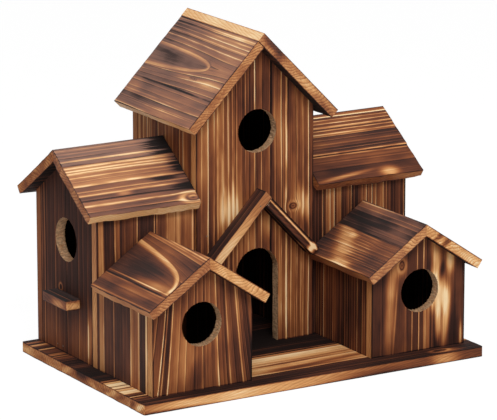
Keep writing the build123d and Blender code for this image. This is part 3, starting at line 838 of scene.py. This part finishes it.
def use_group(key, *values):
    """One use of a group, whose first value is a wire. Returns a wire for each result."""
    tree = values[0].tree
    made = tree.nodes.new("ShaderNodeGroup")
    made.node_tree = groups[key]
    for socket, value in zip(made.inputs, values):
        feed(socket, value)
    return [Wire(tree, socket) for socket in made.outputs]


# The wood of one board

# How ragged the soft patches are
RAGGED = 1.1


def extent(node, origin, direction):
    """Lowest and highest place of a board along a direction, in mm."""
    places = [(v.co - origin).dot(direction) / MM for v in nodes[node].data.vertices]
    return min(places), max(places)


class BoardPlace:
    """Where a point lies on a board, as wires in mm, and how far the board reaches."""

    def __init__(self, tree, socket, node):
        self.board = boards[node]
        origin, self.along, self.across, self.outward = self.board.place(node)
        self.ends = extent(node, origin, self.along)
        self.sides = extent(node, origin, self.across)
        under, top = extent(node, origin, self.outward)
        self.thickness = top - under
        self.u = measure(tree, socket, self.along, origin.dot(self.along) / MM)
        self.v = measure(tree, socket, self.across, origin.dot(self.across) / MM)
        self.w = measure(tree, socket, -self.outward, -(origin.dot(self.outward) / MM + top))

    def from_opening(self, opening):
        """Way from an opening's middle, along and across, and its length."""
        rise = self.u - opening.along
        if opening.foot:
            rise = rise.larger(0.0)
        aside = self.v - opening.across
        return rise, aside, diagonal(rise, aside)


def patches(spots, along, across, ragged, total=0.0):
    """Soft patches, added to a total."""
    for spot in spots:
        total = use_group("spot", along, across, ragged, *spot)[0] + total
    return total


def grain_of(at):
    """Growth rings of a board, and the marks on its broad faces."""
    board = at.board
    pith_across, pith_depth = board.pith
    hill = flat_share = marks = 0.0
    if board.arch:
        hill, flat_share, marks = use_group("arch", at.u, at.v, *board.arch)
    for knot in board.knots:
        bump, tone = use_group("knot", at.u, at.v, *knot)
        hill = bump + hill
        marks = tone + marks
    fan_middle, fan_rate = board.fan
    fanned = at.v
    if fan_rate:
        fanned = at.v + (at.v - fan_middle) * at.u * fan_rate
    values = (board.seed, board.spacing, pith_across, pith_depth, board.wave)
    rings = Rings(*use_group("rings", at.u, fanned, at.w, hill, flat_share, *values))
    marks = patches(board.spots, at.u, at.v, rings.streak * RAGGED, marks)
    for line in board.lines:
        ring = math.hypot(line.across - pith_across, pith_depth)
        values = (ring, line.along, line.width, line.tone, line.reach)
        marks = use_group("line", rings.distance, at.u, *values)[0] + marks
    for stripe in board.stripes:
        ring = math.hypot(stripe.across - pith_across, pith_depth)
        half = stripe.width / 2 * (stripe.across - pith_across) / ring
        values = (ring, stripe.along, half, stripe.soft, stripe.tone, stripe.reach)
        marks = use_group("stripe", rings.distance, at.u, *values)[0] + marks
    return rings, marks


# Spacing of the rings on sawn ends and long edges, in mm, and how sharply they darken
END_RINGS = 2.7
EDGE_RINGS = 2.3
RING_SHARPNESS = 2.5

# Width of the dark rims of sawn faces, and of the dark line round the broad faces, in mm: charred edges,
# with painted shade for the seams where boards meet
RIM_WIDTH = 1.2
WORN_LINE = 1.3


def face_tone(at, rings, marks):
    """Tone of a broad face. The inner one is darker: painted shade for the undersides of the roofs and
    strips and for the insides of the walls.
    """
    board = at.board
    tone = rings.burn * board.burn * 2.0 + rings.band * board.band + rings.line * board.line + marks
    tone = tone + board.level + rings.streak * board.streak + rings.fibre * 0.17
    # Painted shade on the inner face
    return tone - at.w.ramp(at.thickness * 0.6, at.thickness * 0.8) * 0.4


def end_tone(at, rings):
    """Tone of a sawn end, with its growth rings on the slant."""
    board, u, v, w = at.board, at.u, at.v, at.w
    speck = swing(u * 0.9, v * 0.9, w * 0.9, 3.0, 0.7)
    blotch = swing(v * 0.08, w * 0.16, board.seed + 0.5)
    slant = v * 0.72 + w * 0.69 + swing(v * 0.04, w * 0.06, board.seed, 1.0) * 14.0
    growth = (slant / END_RINGS + blotch * 0.8).sawtooth(RING_SHARPNESS)
    tone = growth * blotch.ramp(-0.2, 0.2, -0.1, -0.3) + blotch * 0.6 + speck * 0.3
    return tone + patches(board.end_spots, v, w, rings.streak * RAGGED) + board.end


def edge_tone(at, rings):
    """Tone of a long edge, where the saw cut along the rings."""
    board, u, w = at.board, at.u, at.w
    slant = u * 0.22 + w * 0.97 + swing(u * 0.015, w * 0.08, board.seed, 1.0) * 9.0
    tone = (slant / EDGE_RINGS).sawtooth(RING_SHARPNESS) * -0.12
    tone = tone + rings.streak * 0.35 + rings.fibre * 0.15 + rings.burn * 0.4
    return tone + patches(board.edge_spots, u, w, rings.streak * RAGGED) + board.edge


def board_tone(at, rings, marks, broad, sawn):
    """Tone of a board. Two shares say how far a point lies on a broad face or a sawn end."""
    half = at.thickness / 2
    rim_dark = ((at.w - half).absolute() - (half - RIM_WIDTH)).ramp(0.2, 0.9) * -0.4
    tone = blend(edge_tone(at, rings) + rim_dark, end_tone(at, rings) + rim_dark, sawn)
    tone = blend(tone, face_tone(at, rings, marks), broad)
    near_end = (at.u - at.ends[0]).smaller(at.ends[1] - at.u)
    near = near_end.smaller((at.v - at.sides[0]).smaller(at.sides[1] - at.v))
    # Dark line round the broad faces: partly charred, worn edges and partly painted shade in the seams
    # between boards
    rubbed = noise(at.u * 0.03, at.v * 0.03, at.w * 0.2).ramp(0.35, 0.75, -0.35, -0.05)
    return tone + near.ramp(WORN_LINE, 0.5) * rubbed * broad * (1.0 if at.board.worn else 0.45)


# Where each colour of the wood lies on the scale of tones
TONES = {
    "char": 0.0, "scorch": 0.17, "brown": 0.34, "amber": 0.5, "tan": 0.66, "honey": 0.83, "cream": 1.0,
}


def wood_colour(tone, colours):
    """Colour of a tone, from char to bare wood."""
    made = tone.tree.nodes.new("ShaderNodeValToRGB")
    feed(made.inputs[0], tone)
    stops = made.color_ramp.elements
    while len(stops) < len(TONES):
        stops.new(0.5)
    for stop, (name, position) in zip(stops, TONES.items()):
        stop.position = position
        stop.color = (*getattr(colours, name), 1)
    return Wire(tone.tree, made.outputs[0])


def board_rims(at, broad, colour, rim):
    """Colour of a board with the rims of its holes, which are fibrous and a little grey."""
    inner = 0.0
    for opening in openings[at.board.opening]:
        reach = at.from_opening(opening)[2]
        inner = reach.ramp(opening.radius + 0.8, opening.radius + 0.2) + inner
    fuzz = noise(at.u * 0.8, at.v * 0.8, at.w * 0.35, 3.0, 0.7).ramp(0.25, 0.75, 0.45, 1.45)
    return mix_colours(inner * (1.0 - broad), colour, scaled(rim, fuzz))


# How squarely a face has to look one way to count as broad or sawn, and the finish of the wood
FACING = (0.55, 0.85)
BUMP_STRENGTH = 0.8
LEAST_ROUGHNESS = 0.5


def torched_material(node, colours, relief):
    """Torched and brushed softwood of one board."""
    material = bpy.data.materials.new("torched_" + node)
    tree = empty_tree(material)
    coordinates = tree.nodes.new("ShaderNodeTexCoord")
    at = BoardPlace(tree, coordinates.outputs["Object"], node)
    board = at.board
    rings, marks = grain_of(at)
    facing = coordinates.outputs["Normal"]
    broad = measure(tree, facing, at.outward * MM).absolute().ramp(*FACING)
    sawn = measure(tree, facing, at.along * MM).absolute().ramp(*FACING)
    tone = board_tone(at, rings, marks, broad, sawn)
    colour = wood_colour(tone, colours)
    # Painted sheen: the colour is mixed towards the grey-mauve tint where the tone is neither char nor bare
    # wood, standing in for the reflection of the white surroundings
    if board.veil:
        soot = tone.ramp(0.08, 0.34) * tone.ramp(1.0, 0.6) * broad * board.veil
        colour = mix_colours(soot, colour, (*colours.haze, 1))
    if board.opening:
        colour = board_rims(at, broad, colour, colours.rim)
    bump = tree.nodes.new("ShaderNodeBump")
    bump.inputs["Strength"].default_value = BUMP_STRENGTH
    bump.inputs["Distance"].default_value = relief
    feed(bump.inputs["Height"], rings.line * 0.6 + rings.fibre * 0.5 + tone * 0.2)
    shader = tree.nodes.new("ShaderNodeBsdfPrincipled")
    shader.inputs["Specular IOR Level"].default_value = board.gloss
    feed(shader.inputs["Base Color"], colour)
    roughness = tone * -0.3 + rings.fibre * 0.2 + 0.8
    feed(shader.inputs["Roughness"], roughness.larger(LEAST_ROUGHNESS))
    tree.links.new(bump.outputs[0], shader.inputs["Normal"])
    show(tree, "Material", shader)
    return material


def fineness(node):
    """How often a board's faces are halved. A perch stays coarse, so that its edges round well."""
    if node.endswith("perch"):
        return PERCH_FINENESS
    if boards[node].opening:
        return RIM_FINENESS
    return BASE_FINENESS if node.startswith("base_") else FINENESS


def worn_moves(node, at):
    """Ways and distances in mm that the edges of a board move. All of them go into the wood."""
    board, u, v, w = at.board, at.u, at.v, at.w
    along_wave = noise(u * 0.035, board.seed, 0.0, 3.0, 0.6).ramp(0.3, 0.7)
    across_wave = noise(v * 0.07, board.seed + 0.5, 0.0, 3.0, 0.6).ramp(0.3, 0.7)
    start_along, end_along, start_across, end_across = board.worn
    (first, last), (start, end) = at.ends, at.sides
    near_first = u.ramp(first + WORN_DEPTH, first) * start_along
    near_last = u.ramp(last - WORN_DEPTH, last) * end_along
    near_start = v.ramp(start + WORN_DEPTH, start) * start_across
    near_end = v.ramp(end - WORN_DEPTH, end) * end_across
    moves = [
        (at.along, (near_first - near_last) * across_wave),
        (at.across, (near_start - near_end) * along_wave),
    ]
    if "_roof_" in node:
        under = w.ramp(at.thickness * 0.5, at.thickness) * (near_start + near_end)
        lift = under * noise(u * 0.02, board.seed + 2.5, 0.0).ramp(0.35, 0.65)
        moves.append((at.outward, lift))
    if board.opening:
        fray = noise(u * 0.7, v * 0.7, w * 0.2, 1.0).ramp(0.3, 0.7) * FRAY
        for opening in openings[board.opening]:
            rise, aside, reach = at.from_opening(opening)
            pull = reach.ramp(opening.radius + FRAY_DEPTH, opening.radius + 0.1) * fray / reach
            moves += [(at.along, rise * pull), (at.across, aside * pull)]
    return moves


def wear_edges(node):
    """Make the free edges of a board uneven, always inwards."""
    tree = bpy.data.node_groups.new("Uneven edges of " + node, "GeometryNodeTree")
    for way in ("INPUT", "OUTPUT"):
        tree.interface.new_socket(name="Geometry", in_out=way, socket_type="NodeSocketGeometry")
    source = tree.nodes.new("NodeGroupInput")
    sink = tree.nodes.new("NodeGroupOutput")
    subdivide = tree.nodes.new("GeometryNodeSubdivideMesh")
    subdivide.inputs["Level"].default_value = fineness(node)
    at = BoardPlace(tree, tree.nodes.new("GeometryNodeInputPosition").outputs[0], node)
    first, *others = [scaled(axis * MM, amount) for axis, amount in worn_moves(node, at)]
    offset = first
    for step in others:
        offset = summed(offset, step)
    move = tree.nodes.new("GeometryNodeSetPosition")
    tree.links.new(source.outputs[0], subdivide.inputs["Mesh"])
    tree.links.new(subdivide.outputs[0], move.inputs["Geometry"])
    feed(move.inputs["Offset"], offset)
    tree.links.new(move.outputs[0], sink.inputs[0])
    nodes[node].modifiers.new("Uneven edges", "NODES").node_group = tree


def dress(node):
    """Give a board its material and its sanded edges."""
    settings = bpy.context.scene.birdhouse_sizes
    board = nodes[node]
    material = torched_material(node, bpy.context.scene.birdhouse_colours, settings.relief)
    board.data.materials.clear()
    board.data.materials.append(material)
    weld = board.modifiers.new("Join the faces", "WELD")
    weld.merge_threshold = WELD_GAP * MM
    if boards[node].worn:
        wear_edges(node)
    rounding = board.modifiers.new("Sanded edges", "BEVEL")
    rounding.width = settings.edge_round * (PERCH_ROUNDER if node.endswith("perch") else 1)
    rounding.segments = 2
    rounding.limit_method = "ANGLE"
    rounding.angle_limit = math.radians(SHARP_ANGLE)


def dress_all(prefixes):
    """Dress every board whose name starts with one of the prefixes."""
    chosen = [name for name in sorted(boards) if name.startswith(prefixes)]
    if not chosen:
        raise RuntimeError("no board is named " + " or ".join(prefixes))
    for name in chosen:
        dress(name)


class BIRDHOUSE_OT_grain(bpy.types.Operator):
    """Make the shared parts of the wood's shader"""

    bl_idname = "birdhouse.grain"
    bl_label = "Grain"

    def execute(self, context):
        for key, recipe in GROUPS.items():
            groups[key] = make_group(*recipe)
        return {"FINISHED"}


class BIRDHOUSE_OT_base(bpy.types.Operator):
    """Dress the base planks"""

    bl_idname = "birdhouse.base"
    bl_label = "Base"

    def execute(self, context):
        dress_all(("base_",))
        return {"FINISHED"}


class BIRDHOUSE_OT_tower(bpy.types.Operator):
    """Dress the tower, its roof and the porch strips"""

    bl_idname = "birdhouse.tower"
    bl_label = "Tower"

    def execute(self, context):
        dress_all(("tower_", "porch_"))
        return {"FINISHED"}


class BIRDHOUSE_OT_wings(bpy.types.Operator):
    """Dress the wings, their roofs and perches"""

    bl_idname = "birdhouse.wings"
    bl_label = "Wings"

    def execute(self, context):
        dress_all(("left_wing_", "right_wing_"))
        return {"FINISHED"}


class BIRDHOUSE_OT_houses(bpy.types.Operator):
    """Dress the two small houses"""

    bl_idname = "birdhouse.houses"
    bl_label = "Small houses"

    def execute(self, context):
        dress_all(("left_house_", "right_house_"))
        return {"FINISHED"}


# Nails

def brad_steel(colours):
    """Dull, slightly rusted steel."""
    material = bpy.data.materials.new("brad_steel")
    material.use_nodes = True
    tree = material.node_tree
    shader = tree.nodes["Principled BSDF"]
    shader.inputs["Metallic"].default_value = BRAD_METALLIC
    place = tree.nodes.new("ShaderNodeTexCoord").outputs["Object"]
    spread = noise(measure(tree, place, X) * 2.0, measure(tree, place, Z) * 2.0, 0.0)
    rust = spread.ramp(0.35, 0.65, 0.5, 1.1)
    feed(shader.inputs["Base Color"], scaled(colours.nail, rust))
    feed(shader.inputs["Roughness"], rust * -0.3 + 0.8)
    return material


def make_brads(name, places, outward, material):
    """Brad heads, driven almost flush: each a turned dome with a countersunk neck."""
    mesh = bmesh.new()
    side = outward.orthogonal().normalized()
    turned = outward.cross(side)
    for place in places:
        rings = []
        for radius, height in BRAD_PROFILE:
            ring = []
            for step in range(BRAD_SIDES):
                angle = math.tau * step / BRAD_SIDES
                spread = (side * math.cos(angle) + turned * math.sin(angle)) * radius
                ring.append(mesh.verts.new(place + (spread + outward * height) * MM))
            rings.append(ring)
        for upper, lower in zip(rings, rings[1:]):
            for step in range(BRAD_SIDES):
                after = (step + 1) % BRAD_SIDES
                mesh.faces.new((upper[step], lower[step], lower[after], upper[after]))
        mesh.faces.new(rings[0])
        mesh.faces.new(rings[-1][::-1])
    mesh.normal_update()
    data = bpy.data.meshes.new(name)
    mesh.to_mesh(data)
    mesh.free()
    data.materials.append(material)
    data.shade_smooth()
    brads = add_object(name, data)
    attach(brads, BODY)


class BIRDHOUSE_OT_nails(bpy.types.Operator):
    """Add the heads of the brads that hold the boards"""

    bl_idname = "birdhouse.nails"
    bl_label = "Nails"

    def execute(self, context):
        material = brad_steel(context.scene.birdhouse_colours)
        for name, (board, outward, spots) in BRADS.items():
            origin, up, across, outward = upright(outward)(board)
            face = outward * (low(board) - origin).dot(outward)
            places = [origin + face + (up * height + across * side) * MM for height, side in spots]
            make_brads(name, places, outward, material)
        return {"FINISHED"}


# The stage. The camera stands where the photograph was taken from, in metres in the row frame.
CAMERA_PLACE = Vector((-1.59086, -2.66490, 0.91320))
CAMERA_HEADING = math.radians(-30.86)
CAMERA_DOWN = math.radians(14.19)
CAMERA_NEAR, CAMERA_FAR = 0.1, 30
PICTURE_WIDTH = 497
FOCAL_PIXELS = 3678.07
CENTRE_SHIFT_PIXELS = 3.63
SENSOR = 36.0

# Place and width in metres and power in watts of each lamp, which all face the middle
LAMPS = {
    "key": ((-0.8, -2.1, 2.0), 1.1, 42),
    "top": ((-0.4, -0.2, 2.3), 1.3, 16),
    "fill": ((1.8, -1.4, 0.9), 1.4, 5),
}
LAMP_TARGET = Vector((0, 0, 0.12))
SKY_LIGHT = 0.36

FLOOR_HALF = 6.0
FLOOR_DROP = 0.0002
FLOOR_GREY = 0.82
FLOOR_GLOW = 1.05
FLOOR_WHITE_SHARE = 0.9
WHITE = (1, 1, 1, 1)


def shown_white(tree):
    """1 for camera, glossy and transmission rays, which see plain white, and 0 for the rest."""
    path = tree.nodes.new("ShaderNodeLightPath")
    rays = [Wire(tree, path.outputs[f"Is {kind} Ray"]) for kind in ("Camera", "Glossy", "Transmission")]
    return rays[0].larger(rays[1]).larger(rays[2])


def make_floor():
    """A pale floor that looks white and keeps the object's shadow."""
    mesh = bpy.data.meshes.new("floor")
    corners = [(-1, -1), (1, -1), (1, 1), (-1, 1)]
    mesh.from_pydata([(x * FLOOR_HALF, y * FLOOR_HALF, 0) for x, y in corners], [], [(0, 1, 2, 3)])
    floor = add_object("floor", mesh)
    floor.location.z = -FLOOR_DROP
    material = bpy.data.materials.new("pale_floor")
    tree = empty_tree(material)
    diffuse = tree.nodes.new("ShaderNodeBsdfDiffuse")
    diffuse.inputs["Color"].default_value = (FLOOR_GREY, FLOOR_GREY, FLOOR_GREY, 1)
    glow = tree.nodes.new("ShaderNodeEmission")
    glow.inputs["Color"].default_value = WHITE
    glow.inputs["Strength"].default_value = FLOOR_GLOW
    mix = tree.nodes.new("ShaderNodeMixShader")
    feed(mix.inputs[0], shown_white(tree) * FLOOR_WHITE_SHARE)
    tree.links.new(diffuse.outputs[0], mix.inputs[1])
    tree.links.new(glow.outputs[0], mix.inputs[2])
    show(tree, "Material", mix)
    mesh.materials.append(material)
    floor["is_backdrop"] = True


def make_world():
    """A white background that lights the object only softly."""
    world = bpy.data.worlds.new("studio")
    bpy.context.scene.world = world
    tree = empty_tree(world)
    soft = tree.nodes.new("ShaderNodeBackground")
    soft.inputs["Color"].default_value = WHITE
    feed(soft.inputs["Strength"], shown_white(tree).ramp(0.0, 1.0, SKY_LIGHT, 1.0))
    show(tree, "World", soft)


def make_lamp(name, place, width, power):
    """A large soft lamp that faces the object's middle."""
    data = bpy.data.lights.new(name, "AREA")
    data.shape = "DISK"
    data.size = width
    data.energy = power
    lamp = add_object(name, data)
    lamp.location = place
    lamp.rotation_euler = (LAMP_TARGET - lamp.location).to_track_quat("-Z", "Y").to_euler()


def make_camera():
    """The camera at the photograph's place, angle and frame."""
    data = bpy.data.cameras.new("camera")
    data.sensor_width = SENSOR
    data.lens = FOCAL_PIXELS / PICTURE_WIDTH * SENSOR
    data.shift_x = -CENTRE_SHIFT_PIXELS / PICTURE_WIDTH
    data.clip_start = CAMERA_NEAR
    data.clip_end = CAMERA_FAR
    camera = add_object("camera", data)
    camera.location = CAMERA_PLACE
    direction = Vector((
        -math.sin(CAMERA_HEADING) * math.cos(CAMERA_DOWN),
        math.cos(CAMERA_HEADING) * math.cos(CAMERA_DOWN),
        -math.sin(CAMERA_DOWN),
    ))
    camera.rotation_euler = direction.to_track_quat("-Z", "Y").to_euler()
    bpy.context.scene.camera = camera


class BIRDHOUSE_OT_stage(bpy.types.Operator):
    """Make the floor, the world, the lamps and the camera"""

    bl_idname = "birdhouse.stage"
    bl_label = "Stage"

    def execute(self, context):
        context.scene.view_settings.view_transform = "Standard"
        make_floor()
        make_world()
        for name, (place, width, power) in LAMPS.items():
            make_lamp(name, place, width, power)
        make_camera()
        return {"FINISHED"}


STEPS = (BIRDHOUSE_OT_grain, BIRDHOUSE_OT_base, BIRDHOUSE_OT_tower, BIRDHOUSE_OT_wings,
         BIRDHOUSE_OT_houses, BIRDHOUSE_OT_nails, BIRDHOUSE_OT_stage)


class BIRDHOUSE_PT_panel(bpy.types.Panel):
    """Buttons and settings of the birdhouse"""

    bl_label = "Birdhouse"
    bl_idname = "BIRDHOUSE_PT_panel"
    bl_space_type = "VIEW_3D"
    bl_region_type = "UI"
    bl_category = "Birdhouse"

    def draw(self, context):
        column = self.layout.column()
        for name in WoodColours.__annotations__:
            column.prop(context.scene.birdhouse_colours, name)
        for name in BoardSizes.__annotations__:
            column.prop(context.scene.birdhouse_sizes, name)
        for step in STEPS:
            column.operator(step.bl_idname)


CLASSES = (WoodColours, BoardSizes) + STEPS + (BIRDHOUSE_PT_panel,)


def register():
    for entry in CLASSES:
        bpy.utils.register_class(entry)
    bpy.types.Scene.birdhouse_colours = bpy.props.PointerProperty(type=WoodColours)
    bpy.types.Scene.birdhouse_sizes = bpy.props.PointerProperty(type=BoardSizes)


def unregister():
    del bpy.types.Scene.birdhouse_sizes
    del bpy.types.Scene.birdhouse_colours
    for entry in reversed(CLASSES):
        bpy.utils.unregister_class(entry)


def main():
    """Build everything in order, then gather the sizes of the CAD parts and of what is shown."""
    register()
    bpy.ops.birdhouse.grain()
    bpy.ops.birdhouse.base()
    bpy.ops.birdhouse.tower()
    bpy.ops.birdhouse.wings()
    bpy.ops.birdhouse.houses()
    bpy.ops.birdhouse.nails()
    bpy.ops.birdhouse.stage()
    bpy.context.view_layer.update()
    sizes = {
        "cad": [list(corner) for corner in cad_box],
        "visual": [list(corner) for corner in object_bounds()],
    }


if __name__ == "__main__":
    main()
